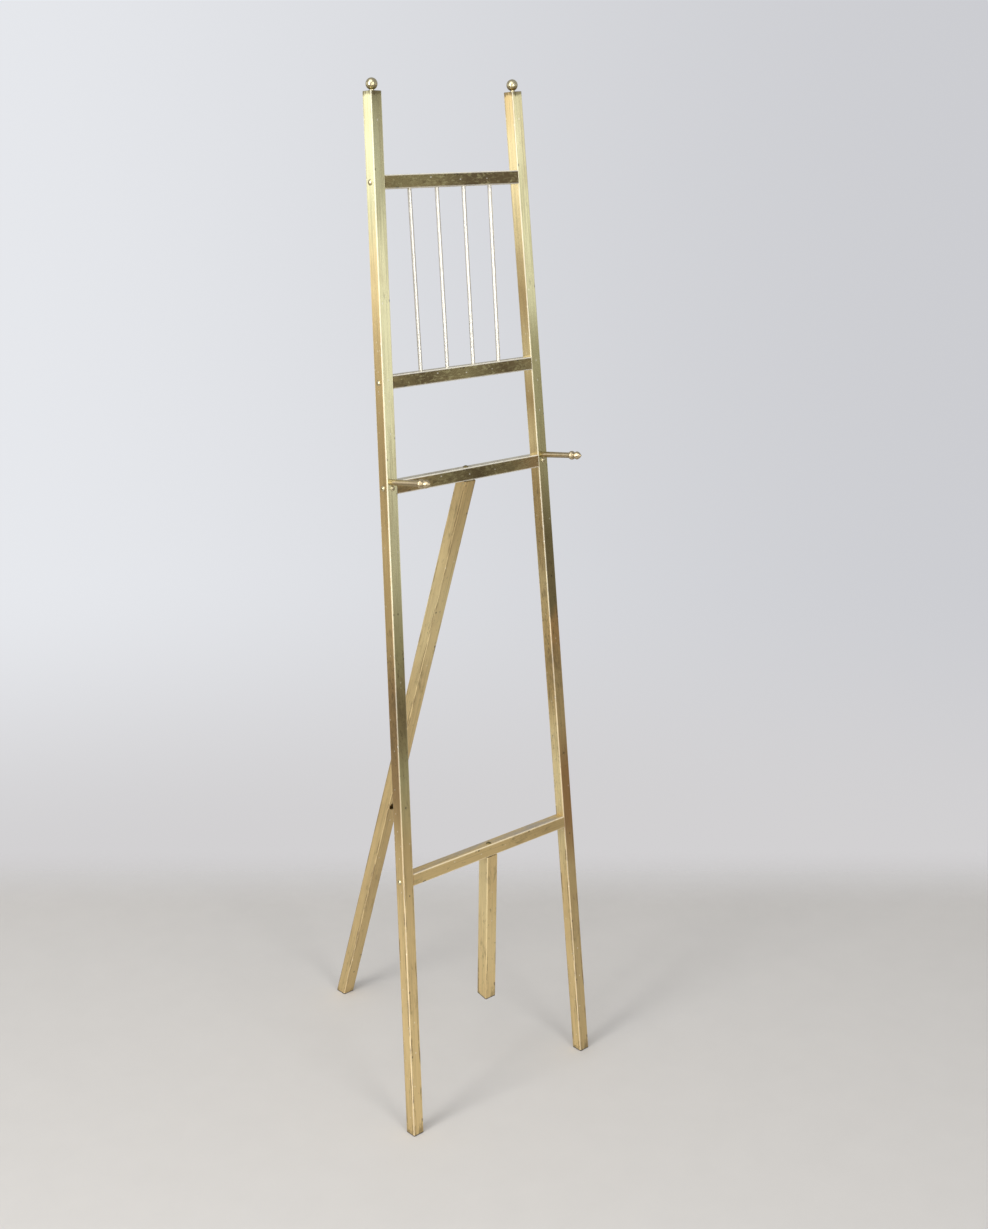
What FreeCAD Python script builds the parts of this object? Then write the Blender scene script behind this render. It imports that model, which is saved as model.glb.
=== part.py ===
import FreeCAD, Part
import math
import os

# Folding display easel of square brass tube. Millimetres.
#
# World frame: origin on the floor, under the middle of the standing easel's bounding box; +X to
# the easel's right as seen from the front, +Y to the back, +Z up. The front faces -Y.
#
# The front frame is drawn upright first, in "frame coordinates": X as above, Y (called depth)
# backwards out of the frame's plane, Z (called height) along the frame. It is then leaned back
# about the floor line between its feet, and at the end everything is moved onto the origin.

V = FreeCAD.Vector
X_AXIS = V(1, 0, 0)
Y_AXIS = V(0, 1, 0)
Z_AXIS = V(0, 0, 1)

# --- Front frame ---------------------------------------------------------------------------
LEAN_DEG = 4.5            # the frame leans back by this angle
FRAME_LENGTH = 1613.5     # floor to the legs' tops, along the frame
FOOT_HALF_SPACING = 189.0  # leg axis to the centre plane at the floor
TOP_HALF_SPACING = 134.9  # leg axis to the centre plane at the top
TUBE = 20.0               # outer side of the frame's square tube
WALL = 1.5                # wall of every tube
CORNER = 2.0              # outer corner radius of every tube
LEG_RUN_BELOW = 30.0      # tube drawn below the floor before the foot is trimmed off

BAR_HEIGHTS = {           # crossbar centre lines, along the frame
    "top_bar": 1488.5,
    "middle_bar": 1205.0,
    "peg_bar": 1050.0,
    "lower_bar": 432.0,
}
BAR_OVERLENGTH = 260.0    # half length of a bar before its ends are trimmed to the legs

# --- Caps, finials and feet ----------------------------------------------------------------
CAP_PLATE = 3.5
CAP_SHANK = 12.0
PLUG_CLEARANCE = 0.05     # each side of a plug in its tube
CAP_EDGE_RADIUS = 0.6
FINIAL_BALL = 17.0
FINIAL_NECK = 6.5
FINIAL_NECK_HEIGHT = 1.2
FINIAL_STUD = 4.0
FINIAL_STUD_LENGTH = 10.0
FINIAL_HOLE_LENGTH = 11.0
FOOT_FLANGE = 2.0
FOOT_SHANK = 18.0
FOOT_EDGE = 0.9

# --- Fasteners -----------------------------------------------------------------------------
SIDE_SCREW = 5.0
SIDE_SCREW_HEAD = 8.5
SIDE_SCREW_HEAD_HEIGHT = 2.6
SIDE_SCREW_IN_PLUG = 12.0
BAR_PLUG_LENGTH = 16.0
FRONT_SCREW = 4.0
FRONT_SCREW_HEAD = 8.0
FRONT_SCREW_HEAD_HEIGHT = 2.4
FRONT_SCREW_LENGTH = 5.6
FRONT_SCREW_HOLE = 6.0
HEAD_RIM_SHARE = 0.2      # of a head's height, its upright rim under the dome
SLOT_WIDTH = 1.0
SLOT_DEPTH = 0.9
HOLE_CLEARANCE = 0.05     # radial, a fastener, stud or rod in its hole

# --- Grille rods ---------------------------------------------------------------------------
ROD = 6.0
ROD_PITCH = 52.0
ROD_COUNT = 4
ROD_END_PLAY = 0.1

# --- Pegs ----------------------------------------------------------------------------------
PEG_ABOVE_BAR = 9.0       # peg axis above the peg bar's centre line
PEG_RISE_DEG = 3.0        # its tip is raised from square to the leg
PEG_LENGTH = 87.5         # proud of the leg's front face
PEG_ROOT_RADIUS = 4.7
PEG_NECK_RADIUS = 4.35
PEG_RING_START = 63.0
PEG_RING_END = 71.0
PEG_RING_RADIUS = 6.8
PEG_WAIST_RADIUS = 3.3
PEG_WAIST_EDGE_RADIUS = 3.9  # where the waist meets the ring and the bud
PEG_WAIST_END = 74.0
PEG_SHOULDER_RADIUS = 5.3  # the bud's near side, on its way out to the peak
PEG_SHOULDER_AT = 75.6
PEG_BUD_RADIUS = 6.3
PEG_BUD_PEAK = 78.2
PEG_FLANK_RADIUS = 4.54   # the bud's far side, on its way in to the tip
PEG_FLANK_AT = 82.2
PEG_TIP_RADIUS = 1.8
PEG_TIP_HEIGHT = 1.8
PEG_SPIGOT = 6.0
PEG_SPIGOT_LENGTH = 13.0
PEG_SPIGOT_HOLE = 14.0
PEG_ROOT_TUCK = 1.0       # root drawn into the leg before it is trimmed to the leg's face
PEG_BLOCK_BELOW = 9.0     # block below the peg bar's centre line
PEG_BLOCK_ABOVE = 26.0    # block above it

# --- Rear leg ------------------------------------------------------------------------------
REAR_TUBE = 22.0          # outer side of the rear leg's and the stay's tube
REAR_SPREAD_DEG = 23.3    # rear leg from the frame's plane when it stands
REAR_AXIS_DEPTH = 2.0     # depth of its axis at the peg bar's underside
REAR_PIVOT_FORWARD = 6.7  # hinge pin in front of the leg's axis
REAR_FOLD_DEG = 18.5      # folding travel, towards the frame
REAR_HOLE = 16.0          # round hole in the front face
REAR_HOLE_FROM_FOOT = 454.0
REAR_BOLT_DEPTH = 1.2     # hinge bolt behind the peg bar's centre plane
REAR_LUG_EYE = 2.5

# --- Stay ----------------------------------------------------------------------------------
STAY_LENGTH = 258.0       # lower bar's underside to its end, along its axis
STAY_HANG_DEG = 1.2       # off plumb, lower end to the back, which puts its weight below the pin
STAY_AXIS_DEPTH = 0.0
STAY_PIVOT_FORWARD = -2.7  # hinge pin behind the stay's axis
STAY_SWING_DEG = 5.0      # travel to the back
STAY_MITRE_DEG = 12.0     # the lower end's cut, so that it meets the slanting rear leg
STAY_BOLT_DEPTH = -2.5
STAY_LUG_EYE = 3.2
STAY_PLUG_PLATE = 1.5
STAY_PLUG_SHANK = 16.0

# --- Both hinges ---------------------------------------------------------------------------
PIVOT_DROP = 4.2          # pin centre below the bar
HINGE_GAP = 0.4           # mitred tube end below the bar
PIN = 3.0
PIN_RUNNING_CLEARANCE = 0.05
PIN_SEAT_CLEARANCE = 0.01
LUG_WIDTH = 16.0
LUG_BOSS_HEIGHT = 12.0
LUG_BOSS_RADIUS = 3.4
HINGE_BOLT = 4.0
HINGE_BOLT_HEAD = 8.5
HINGE_BOLT_HEAD_HEIGHT = 2.3
HINGE_BOLT_IN_LUG = 9.0
HINGE_BOLT_HOLE = 9.5     # depth of the lug's hole

# --- Worked out from the above -------------------------------------------------------------
HALF_TUBE = TUBE / 2
HALF_REAR = REAR_TUBE / 2
SPLAY_DEG = math.degrees(math.atan2(FOOT_HALF_SPACING - TOP_HALF_SPACING, FRAME_LENGTH))
LEG_LENGTH = FRAME_LENGTH / math.cos(math.radians(SPLAY_DEG))
SIDES = {"left": -1, "right": 1}
BIG = 400.0               # larger than any section, for trimming tools
SPARE = 1.0               # how far a cutting tool reaches past what it cuts


# --- Simple shapes -------------------------------------------------------------------------
def block(low, high):
    """A box from its lowest to its highest corner."""
    size = high.sub(low)
    return Part.makeBox(size.x, size.y, size.z, low)


def rod(radius, start, direction, length):
    return Part.makeCylinder(radius, length, start, direction)


def square_prism(side, radius, low, high):
    """An upright square prism with rounded corners, centred on the Z axis."""
    prism = block(V(-side / 2, -side / 2, low), V(side / 2, side / 2, high))
    if radius <= 0:
        return prism
    corners = [edge for edge in prism.Edges if edge.BoundBox.ZLength > (high - low) / 2]
    return prism.makeFillet(radius, corners)


def square_tube(side, low, high):
    outer = square_prism(side, CORNER, low, high)
    inner = square_prism(side - 2 * WALL, CORNER - WALL, low - SPARE, high + SPARE)
    return outer.cut(inner)


def plug_prism(side, low, high):
    """The inside of a square tube, less the plug's clearance."""
    return square_prism(side - 2 * WALL - 2 * PLUG_CLEARANCE, CORNER - WALL, low, high)


def turned(points_and_arcs):
    """A turned piece on the Z axis. Each entry is a point (r, z), or an arc's (middle, end)."""
    start = V(points_and_arcs[0][0], 0, points_and_arcs[0][1])
    here = start
    edges = []
    for entry in points_and_arcs[1:]:
        if isinstance(entry[0], tuple):
            middle, end = (V(r, 0, z) for r, z in entry)
            edges.append(Part.Arc(here, middle, end).toShape())
        else:
            end = V(entry[0], 0, entry[1])
            edges.append(Part.LineSegment(here, end).toShape())
        here = end
    edges.append(Part.LineSegment(here, start).toShape())
    return Part.Face(Part.Wire(edges)).revolve(V(0, 0, 0), Z_AXIS, 360)


def dome(radius, low, high):
    """The arc of a ball's cap, from (radius, low) up to the axis at high."""
    rise = high - low
    ball = (radius ** 2 + rise ** 2) / (2 * rise)
    half_angle = math.atan2(radius, ball - rise) / 2
    return (ball * math.sin(half_angle), high - ball + ball * math.cos(half_angle)), (0, high)


def domed_screw(shank, length, head, head_height):
    """A slotted domed screw on the Z axis: the head sits on z = 0, the shank runs down."""
    half = head / 2
    rim = head_height * HEAD_RIM_SHARE
    profile = [
        (0, -length), (shank / 2, -length), (shank / 2, 0), (half, 0), (half, rim),
        dome(half, rim, head_height),
    ]
    slot = block(
        V(-half, -SLOT_WIDTH / 2, head_height - SLOT_DEPTH),
        V(half, SLOT_WIDTH / 2, head_height + SPARE),
    )
    return turned(profile).cut(slot)


def turn(shape, axis, degrees, centre=V(0, 0, 0)):
    moved = shape.copy()
    moved.rotate(centre, axis, degrees)
    return moved


def shift(shape, x=0.0, depth=0.0, height=0.0):
    moved = shape.copy()
    moved.translate(V(x, depth, height))
    return moved


# --- Placing pieces ------------------------------------------------------------------------
def lean(shape):
    """Frame coordinates to the world."""
    return turn(shape, X_AXIS, -LEAN_DEG)


def on_leg(shape, side):
    """From a leg's own coordinates (Z up its axis, origin at the floor) to the frame's."""
    splayed = turn(shape, Y_AXIS, -SIDES[side] * SPLAY_DEG)
    return shift(splayed, x=SIDES[side] * FOOT_HALF_SPACING)


def along_leg(height):
    """A height along the frame, measured up the splayed leg's axis instead."""
    return height / math.cos(math.radians(SPLAY_DEG))


def swung_tube(shape, degrees, axis_depth, height):
    """Hangs a tube (top at z = 0, running down) below a bar: its lower end swings to the back."""
    return shift(turn(shape, X_AXIS, degrees), depth=axis_depth, height=height)


def world_slab(low, high):
    """Everything between two world heights, for trimming feet parallel to the floor."""
    return block(V(-BIG, -BIG, low), V(BIG, 2 * BIG, high))


# --- Feet, common to all three legs --------------------------------------------------------
def foot_pieces(outer_in_world, shank_in_world):
    """The plug foot: a flange between the floor and the tube, and a shank up inside the tube."""
    flange = outer_in_world.common(world_slab(0, FOOT_FLANGE))
    on_floor = [edge for edge in flange.Edges if edge.BoundBox.ZMax < FOOT_FLANGE / 2]
    flange = flange.makeFillet(FOOT_EDGE, on_floor)
    shank = shank_in_world.common(world_slab(FOOT_FLANGE / 2, BIG))
    return flange.fuse(shank).removeSplitter()


def trimmed_to_floor(tube_in_world):
    return tube_in_world.cut(world_slab(-BIG, FOOT_FLANGE))


# --- Front frame ---------------------------------------------------------------------------
def leg(side):
    """A front leg, drilled for the crossbars' screws, the peg and its block's screw."""
    tube = square_tube(TUBE, -LEG_RUN_BELOW, LEG_LENGTH - CAP_PLATE)
    side_hole = SIDE_SCREW / 2 + HOLE_CLEARANCE
    for height in BAR_HEIGHTS.values():
        tube = tube.cut(rod(side_hole, V(-TUBE, 0, along_leg(height)), X_AXIS, 2 * TUBE))
    behind_wall = V(0, 0, -WALL - SPARE)
    tube = tube.cut(on_peg_axis(rod(PEG_SPIGOT / 2 + HOLE_CLEARANCE, behind_wall, Z_AXIS, TUBE)))
    screw_height = along_leg(BAR_HEIGHTS["peg_bar"])
    tube = tube.cut(rod(FRONT_SCREW / 2 + HOLE_CLEARANCE, V(0, 0, screw_height), -Y_AXIS, TUBE))
    return trimmed_to_floor(lean(on_leg(tube, side)))


def leg_foot(side):
    outer = square_prism(TUBE, CORNER, -LEG_RUN_BELOW, LEG_RUN_BELOW)
    shank = plug_prism(TUBE, -LEG_RUN_BELOW, FOOT_SHANK)
    return foot_pieces(lean(on_leg(outer, side)), lean(on_leg(shank, side)))


def leg_cap(side):
    top = LEG_LENGTH
    plate = square_prism(TUBE, CORNER, top - CAP_PLATE, top)
    rim = [edge for edge in plate.Edges if edge.BoundBox.ZMin > top - CAP_EDGE_RADIUS]
    plate = plate.makeFillet(CAP_EDGE_RADIUS, rim)
    shank = plug_prism(TUBE, top - CAP_PLATE - CAP_SHANK, top - CAP_PLATE)
    start = V(0, 0, top + SPARE)
    hole = rod(FINIAL_STUD / 2 + HOLE_CLEARANCE, start, -Z_AXIS, FINIAL_HOLE_LENGTH + SPARE)
    return lean(on_leg(plate.fuse(shank).removeSplitter().cut(hole), side))


def finial(side):
    ball_radius = FINIAL_BALL / 2
    centre = FINIAL_NECK_HEIGHT + ball_radius
    ball = Part.makeSphere(ball_radius, V(0, 0, centre))
    neck = rod(FINIAL_NECK / 2, V(0, 0, 0), Z_AXIS, centre)
    stud = rod(FINIAL_STUD / 2, V(0, 0, 0), -Z_AXIS, FINIAL_STUD_LENGTH)
    piece = ball.fuse([neck, stud]).removeSplitter()
    return lean(on_leg(shift(piece, height=LEG_LENGTH), side))


def outside_legs(side):
    """Everything outwards of a leg's inner face, in frame coordinates."""
    inner = -SIDES[side] * HALF_TUBE
    low, high = sorted((inner, SIDES[side] * BIG))
    return on_leg(block(V(low, -TUBE, -BIG), V(high, TUBE, LEG_LENGTH + BIG)), side)


def between_legs(shape):
    return shape.cut(outside_legs("left")).cut(outside_legs("right"))


def lying(shape):
    """An upright prism laid along X."""
    return turn(shape, Y_AXIS, 90)


def rod_places():
    """The grille rods' X positions, left to right."""
    first = -ROD_PITCH * (ROD_COUNT - 1) / 2
    return [first + ROD_PITCH * number for number in range(ROD_COUNT)]


def bar_drillings(name):
    """Rod and hinge-bolt holes of a crossbar, in frame coordinates."""
    height = BAR_HEIGHTS[name]
    rod_hole = ROD / 2 + HOLE_CLEARANCE
    bolt_hole = HINGE_BOLT / 2 + HOLE_CLEARANCE
    if name == "top_bar":
        return [rod(rod_hole, V(x, 0, height), -Z_AXIS, TUBE) for x in rod_places()]
    if name == "middle_bar":
        return [rod(rod_hole, V(x, 0, height), Z_AXIS, TUBE) for x in rod_places()]
    depth = {"peg_bar": REAR_BOLT_DEPTH, "lower_bar": STAY_BOLT_DEPTH}[name]
    return [rod(bolt_hole, V(0, depth, height - TUBE), Z_AXIS, 2 * TUBE)]


def crossbar(name):
    tube = lying(square_tube(TUBE, -BAR_OVERLENGTH, BAR_OVERLENGTH))
    tube = between_legs(shift(tube, height=BAR_HEIGHTS[name]))
    for drilling in bar_drillings(name):
        tube = tube.cut(drilling)
    return lean(tube)


def side_screw_axis(side, height):
    """Start on the leg's outer face and inward direction, in the leg's own coordinates."""
    outward = SIDES[side]
    return V(outward * HALF_TUBE, 0, along_leg(height)), V(-outward, 0, 0)


def bar_plugs(name):
    """A tapped plug in each end of a crossbar."""
    height = BAR_HEIGHTS[name]
    whole = shift(lying(plug_prism(TUBE, -BAR_OVERLENGTH, BAR_OVERLENGTH)), height=height)
    whole = between_legs(whole)
    pieces = []
    for side, sign in SIDES.items():
        reach = sign * (HALF_TUBE + BAR_PLUG_LENGTH)
        low, high = sorted((-reach, sign * BIG))
        end_zone = on_leg(block(V(low, -TUBE, 0), V(high, TUBE, LEG_LENGTH)), side)
        start, inward = side_screw_axis(side, height)
        through = TUBE + BAR_PLUG_LENGTH + SPARE
        hole = on_leg(rod(SIDE_SCREW / 2 + HOLE_CLEARANCE, start, inward, through), side)
        pieces.append(lean(whole.common(end_zone).cut(hole)))
    return pieces


def side_screws(name):
    """The pair of screws through the legs into a crossbar's plugs."""
    length = TUBE + SIDE_SCREW_IN_PLUG
    upright = domed_screw(SIDE_SCREW, length, SIDE_SCREW_HEAD, SIDE_SCREW_HEAD_HEIGHT)
    pieces = []
    for side, sign in SIDES.items():
        start, _ = side_screw_axis(side, BAR_HEIGHTS[name])
        screw = shift(turn(upright, Y_AXIS, sign * 90), x=start.x, height=start.z)
        pieces.append(lean(on_leg(screw, side)))
    return pieces


def grille_rod(x):
    """A rod held captive between the far walls of the two upper bars."""
    low = BAR_HEIGHTS["middle_bar"] - HALF_TUBE + WALL
    high = BAR_HEIGHTS["top_bar"] + HALF_TUBE - WALL - ROD_END_PLAY
    return lean(rod(ROD / 2, V(x, 0, low), Z_AXIS, high - low))


# --- Pegs ----------------------------------------------------------------------------------
def on_peg_axis(shape):
    """From the Z axis, with z = 0 at the leg's front face, to a peg's axis on the leg."""
    height = along_leg(BAR_HEIGHTS["peg_bar"] + PEG_ABOVE_BAR)
    return shift(turn(shape, X_AXIS, 90 - PEG_RISE_DEG), depth=-HALF_TUBE, height=height)


def peg(side):
    """A plain spindle, then a ring, a waist and a bud, with a spigot into the leg."""
    ring_middle = (PEG_RING_START + PEG_RING_END) / 2
    waist_middle = (PEG_RING_END + PEG_WAIST_END) / 2
    tip = PEG_LENGTH - PEG_TIP_HEIGHT
    profile = [
        (0, -PEG_ROOT_TUCK),
        (PEG_ROOT_RADIUS, -PEG_ROOT_TUCK),
        (PEG_ROOT_RADIUS, 0),
        (PEG_NECK_RADIUS, PEG_RING_START),
        ((PEG_RING_RADIUS, ring_middle), (PEG_WAIST_EDGE_RADIUS, PEG_RING_END)),
        ((PEG_WAIST_RADIUS, waist_middle), (PEG_WAIST_EDGE_RADIUS, PEG_WAIST_END)),
        ((PEG_SHOULDER_RADIUS, PEG_SHOULDER_AT), (PEG_BUD_RADIUS, PEG_BUD_PEAK)),
        ((PEG_FLANK_RADIUS, PEG_FLANK_AT), (PEG_TIP_RADIUS, tip)),
        dome(PEG_TIP_RADIUS, tip, PEG_LENGTH),
    ]
    spigot_start = V(0, 0, -PEG_SPIGOT_LENGTH)
    spigot = rod(PEG_SPIGOT / 2, spigot_start, Z_AXIS, PEG_SPIGOT_LENGTH + PEG_ROOT_TUCK)
    behind_face = block(V(-TUBE, -HALF_TUBE, 0), V(TUBE, TUBE, LEG_LENGTH))
    outside = on_peg_axis(turned(profile)).cut(behind_face)
    return lean(on_leg(outside.fuse(on_peg_axis(spigot)).removeSplitter(), side))


def peg_block(side):
    """The block inside the leg that takes the peg's spigot and lets the bar's screw pass."""
    bar = BAR_HEIGHTS["peg_bar"]
    body = plug_prism(TUBE, along_leg(bar - PEG_BLOCK_BELOW), along_leg(bar + PEG_BLOCK_ABOVE))
    spigot_end = V(0, 0, -PEG_SPIGOT_HOLE)
    screw_start = V(0, -HALF_TUBE, along_leg(bar))
    crossing_start = V(-TUBE, 0, along_leg(bar))
    drillings = [
        on_peg_axis(rod(PEG_SPIGOT / 2 + HOLE_CLEARANCE, spigot_end, Z_AXIS, TUBE)),
        rod(FRONT_SCREW / 2 + HOLE_CLEARANCE, screw_start, Y_AXIS, FRONT_SCREW_HOLE),
        rod(SIDE_SCREW / 2 + HOLE_CLEARANCE, crossing_start, X_AXIS, 2 * TUBE),
    ]
    return lean(on_leg(body.cut(drillings), side))


def peg_block_screws():
    screw = domed_screw(
        FRONT_SCREW, FRONT_SCREW_LENGTH, FRONT_SCREW_HEAD, FRONT_SCREW_HEAD_HEIGHT
    )
    height = along_leg(BAR_HEIGHTS["peg_bar"])
    screw = shift(turn(screw, X_AXIS, 90), depth=-HALF_TUBE, height=height)
    return [lean(on_leg(screw, side)) for side in SIDES]


# --- Hinges under the bars -----------------------------------------------------------------
class Hinge:
    """A tube hung under a crossbar on a cross pin that runs in a lug bolted to the bar."""

    def __init__(self, bar, tube_angle, axis_depth, pivot_forward, travel, bolt_depth, eye):
        self.bar_height = BAR_HEIGHTS[bar]
        self.underside = self.bar_height - HALF_TUBE
        self.tube_angle = tube_angle
        self.axis_depth = axis_depth
        self.travel = travel
        self.bolt_depth = bolt_depth
        self.eye = eye
        slope = math.radians(tube_angle)
        self.pivot_height = self.underside - PIVOT_DROP
        drop = PIVOT_DROP - pivot_forward * math.sin(slope)
        self.pivot_depth = axis_depth + drop * math.tan(slope) - pivot_forward * math.cos(slope)

    def pivot(self):
        return V(0, self.pivot_depth, self.pivot_height)

    def hang(self, shape):
        return swung_tube(shape, self.tube_angle, self.axis_depth, self.underside)

    def mouth_trim(self):
        """What the tube's end loses: a roof of two planes, one per end of the travel."""
        flat = block(V(-BIG, -BIG, PIVOT_DROP - HINGE_GAP), V(BIG, BIG, BIG))
        at_rest = shift(flat, depth=self.pivot_depth, height=self.pivot_height)
        at_limit = turn(at_rest, X_AXIS, -self.travel, self.pivot())
        return at_rest.fuse(at_limit)

    def pin_hole(self, radius):
        return rod(radius, V(-BIG, self.pivot_depth, self.pivot_height), X_AXIS, 2 * BIG)

    def pin(self):
        return rod(PIN / 2, V(-HALF_REAR, self.pivot_depth, self.pivot_height), X_AXIS, REAR_TUBE)

    def lug(self):
        half = LUG_WIDTH / 2
        near, far = sorted((self.pivot_depth, self.bolt_depth))
        web = block(V(-half, near, self.pivot_height), V(half, far, self.underside))
        eye = rod(self.eye, V(-half, self.pivot_depth, self.pivot_height), X_AXIS, LUG_WIDTH)
        eye_root = block(
            V(-half, self.pivot_depth - self.eye, self.pivot_height),
            V(half, self.pivot_depth + self.eye, self.underside),
        )
        bolt_top = V(0, self.bolt_depth, self.underside)
        boss = rod(LUG_BOSS_RADIUS, bolt_top, -Z_AXIS, LUG_BOSS_HEIGHT)
        bolt_hole = rod(HINGE_BOLT / 2 + HOLE_CLEARANCE, bolt_top, -Z_AXIS, HINGE_BOLT_HOLE)
        piece = web.fuse([eye, eye_root, boss]).removeSplitter()
        return piece.cut([self.pin_hole(PIN / 2 + PIN_RUNNING_CLEARANCE), bolt_hole])

    def bolt(self):
        length = TUBE + HINGE_BOLT_IN_LUG
        bolt = domed_screw(HINGE_BOLT, length, HINGE_BOLT_HEAD, HINGE_BOLT_HEAD_HEIGHT)
        top = self.bar_height + HALF_TUBE
        return shift(turn(bolt, Z_AXIS, 90), depth=self.bolt_depth, height=top)


REAR_HINGE = Hinge(
    bar="peg_bar",
    tube_angle=REAR_SPREAD_DEG,
    axis_depth=REAR_AXIS_DEPTH,
    pivot_forward=REAR_PIVOT_FORWARD,
    travel=-REAR_FOLD_DEG,
    bolt_depth=REAR_BOLT_DEPTH,
    eye=REAR_LUG_EYE,
)
STAY_HINGE = Hinge(
    bar="lower_bar",
    tube_angle=LEAN_DEG + STAY_HANG_DEG,
    axis_depth=STAY_AXIS_DEPTH,
    pivot_forward=STAY_PIVOT_FORWARD,
    travel=STAY_SWING_DEG,
    bolt_depth=STAY_BOLT_DEPTH,
    eye=STAY_LUG_EYE,
)


# --- Rear leg ------------------------------------------------------------------------------
def rear_leg_run():
    """Length of the rear leg's axis from the peg bar's underside to the floor."""
    underside = lean(Part.Vertex(V(0, REAR_AXIS_DEPTH, REAR_HINGE.underside))).Point
    return underside.z / math.cos(math.radians(REAR_SPREAD_DEG - LEAN_DEG))


def rear_leg():
    run = rear_leg_run()
    tube = square_tube(REAR_TUBE, -run - LEG_RUN_BELOW, REAR_TUBE)
    hole = rod(REAR_HOLE / 2, V(0, 0, REAR_HOLE_FROM_FOOT - run), -Y_AXIS, REAR_TUBE)
    tube = REAR_HINGE.hang(tube.cut(hole))
    tube = tube.cut(REAR_HINGE.mouth_trim()).cut(REAR_HINGE.pin_hole(PIN / 2 + PIN_SEAT_CLEARANCE))
    return trimmed_to_floor(lean(tube))


def rear_foot():
    run = rear_leg_run()
    outer = square_prism(REAR_TUBE, CORNER, -run - LEG_RUN_BELOW, -run + LEG_RUN_BELOW)
    shank = plug_prism(REAR_TUBE, -run - LEG_RUN_BELOW, -run + FOOT_SHANK)
    return foot_pieces(lean(REAR_HINGE.hang(outer)), lean(REAR_HINGE.hang(shank)))


# --- Stay ----------------------------------------------------------------------------------
def stay_end_zone(distance):
    """Everything below the stay's mitred end, moved up by a distance, in the stay's coordinates."""
    below = block(V(-BIG, -BIG, -BIG), V(BIG, BIG, 0))
    return shift(turn(below, X_AXIS, STAY_MITRE_DEG), height=-STAY_LENGTH + distance)


def stay():
    tube = square_tube(REAR_TUBE, -STAY_LENGTH - REAR_TUBE, REAR_TUBE)
    tube = STAY_HINGE.hang(tube.cut(stay_end_zone(STAY_PLUG_PLATE)))
    tube = tube.cut(STAY_HINGE.mouth_trim())
    return lean(tube.cut(STAY_HINGE.pin_hole(PIN / 2 + PIN_SEAT_CLEARANCE)))


def stay_end_plug():
    plate = square_prism(REAR_TUBE, CORNER, -STAY_LENGTH - REAR_TUBE, 0)
    plate = plate.common(stay_end_zone(STAY_PLUG_PLATE)).cut(stay_end_zone(0))
    shank = plug_prism(REAR_TUBE, -STAY_LENGTH - REAR_TUBE, -STAY_LENGTH + STAY_PLUG_SHANK)
    shank = shank.cut(stay_end_zone(STAY_PLUG_PLATE / 2))
    return lean(STAY_HINGE.hang(plate.fuse(shank).removeSplitter()))


# --- All the pieces ------------------------------------------------------------------------
def pieces():
    """Every node's name and its solids."""
    made = {}
    for side in SIDES:
        made[f"{side}_leg"] = [leg(side)]
        made[f"{side}_leg_cap"] = [leg_cap(side)]
        made[f"{side}_finial"] = [finial(side)]
        made[f"{side}_foot"] = [leg_foot(side)]
        made[f"{side}_peg"] = [peg(side)]
        made[f"{side}_peg_block"] = [peg_block(side)]
    for name in BAR_HEIGHTS:
        made[name] = [crossbar(name)]
        made[f"{name}_plugs"] = bar_plugs(name)
        made[f"{name}_screws"] = side_screws(name)
    for number, x in enumerate(rod_places(), start=1):
        made[f"grille_rod_{number}"] = [grille_rod(x)]
    made["peg_block_screws"] = peg_block_screws()
    for prefix, hinge in (("rear_leg", REAR_HINGE), ("stay", STAY_HINGE)):
        made[f"{prefix}_hinge_lug"] = [lean(hinge.lug())]
        made[f"{prefix}_hinge_bolt"] = [lean(hinge.bolt())]
        made[f"{prefix}_pin"] = [lean(hinge.pin())]
    made["rear_leg"] = [rear_leg()]
    made["rear_foot"] = [rear_foot()]
    made["stay"] = [stay()]
    made["stay_end_plug"] = [stay_end_plug()]
    return made


def middle_depth(made):
    """Depth of the middle of the whole easel's bounding box."""
    box = Part.makeCompound([solid for solids in made.values() for solid in solids]).BoundBox
    return (box.YMin + box.YMax) / 2


def print_place(name, place, middle):
    """Prints a point of the leaned frame in the world, in metres, for the record."""
    point = lean(Part.Vertex(place)).Point
    print(f"{name}: {point.x / 1000:.6f}, {(point.y - middle) / 1000:.6f}, {point.z / 1000:.6f}")


os.makedirs("parts", exist_ok=True)
model = pieces()
middle = middle_depth(model)
for node, solids in model.items():
    placed = [shift(solid, depth=-middle) for solid in solids]
    shape = placed[0] if len(placed) == 1 else Part.makeCompound(placed)
    if len(shape.Solids) != len(solids) or not shape.isValid():
        raise ValueError(f"{node} is not {len(solids)} valid solids")
    shape.exportStep(f"parts/{node}.step")

print_place("rear_leg_fold", REAR_HINGE.pivot(), middle)
print_place("stay_swing", STAY_HINGE.pivot(), middle)
print_place("picture_rest", V(0, -HALF_TUBE, BAR_HEIGHTS["middle_bar"]), middle)
print_place("right_foot", V(FOOT_HALF_SPACING, 0, 0), middle)
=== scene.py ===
import math

import bpy
import numpy as np
from mathutils import Matrix, Vector

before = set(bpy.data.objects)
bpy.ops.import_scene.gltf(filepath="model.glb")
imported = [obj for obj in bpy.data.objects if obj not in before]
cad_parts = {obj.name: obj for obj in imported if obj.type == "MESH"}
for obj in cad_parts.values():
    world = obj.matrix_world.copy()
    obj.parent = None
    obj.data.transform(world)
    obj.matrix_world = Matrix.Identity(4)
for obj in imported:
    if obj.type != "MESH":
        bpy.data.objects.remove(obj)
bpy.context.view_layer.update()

# Folding display easel of aged square brass tube, in metres, in the CAD model's frame.

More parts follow.
